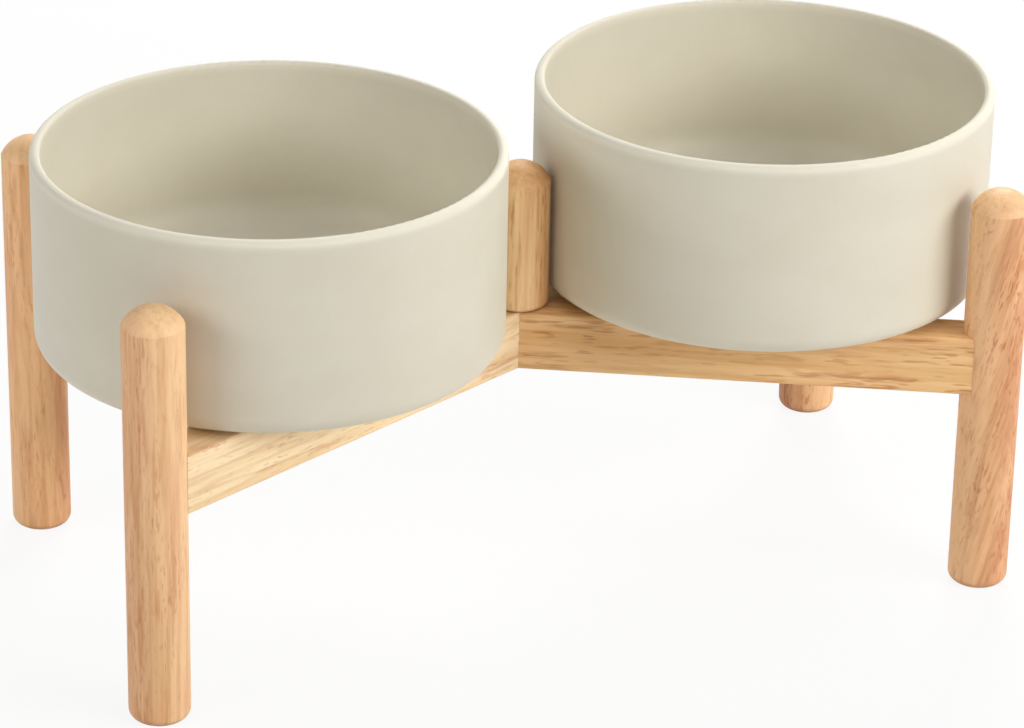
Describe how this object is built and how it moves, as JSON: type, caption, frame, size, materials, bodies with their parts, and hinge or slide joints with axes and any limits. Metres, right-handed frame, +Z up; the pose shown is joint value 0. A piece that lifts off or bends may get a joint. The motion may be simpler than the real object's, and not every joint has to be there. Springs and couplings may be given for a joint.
{
  "type": "raised dog feeder stand with bowls",
  "caption": "Raised pet feeder: straight-walled ceramic bowls resting on a wooden cross of square bars between round domed legs and a short centre post.",
  "frame": {"origin": "on the floor under the axis of the centre post", "axes": "+X to the right, along the stand's length; +Y to the back; +Z up"},
  "size_m": [0.3292, 0.1628, 0.1613],
  "materials": {
    "bowl_glaze": "matte glaze",
    "stand_wood": "satin clear lacquer",
    "dowel_wood": "bare",
    "screw_steel": "zinc plated"
  },
  "bodies": {
    "stand": {"leg_front_left": "stand_wood", "leg_front_right": "stand_wood", "leg_back_left": "stand_wood", "leg_back_right": "stand_wood", "centre_post": "stand_wood", "cross_bar_over": "stand_wood", "cross_bar_under": "stand_wood", "dowel_front_left": "dowel_wood", "dowel_front_right": "dowel_wood", "dowel_back_left": "dowel_wood", "dowel_back_right": "dowel_wood", "centre_screw": "screw_steel"},
    "bowl_left": {"bowl_left": "bowl_glaze"},
    "bowl_right": {"bowl_right": "bowl_glaze"}
  },
  "joints": [
    {"name": "bowl_left_lift", "type": "slide", "parent": "stand", "child": "bowl_left", "axis": [0, 0, 1], "range_m": [0, 0.08]},
    {"name": "bowl_right_lift", "type": "slide", "parent": "stand", "child": "bowl_right", "axis": [0, 0, 1], "range_m": [0, 0.08]}
  ]
}
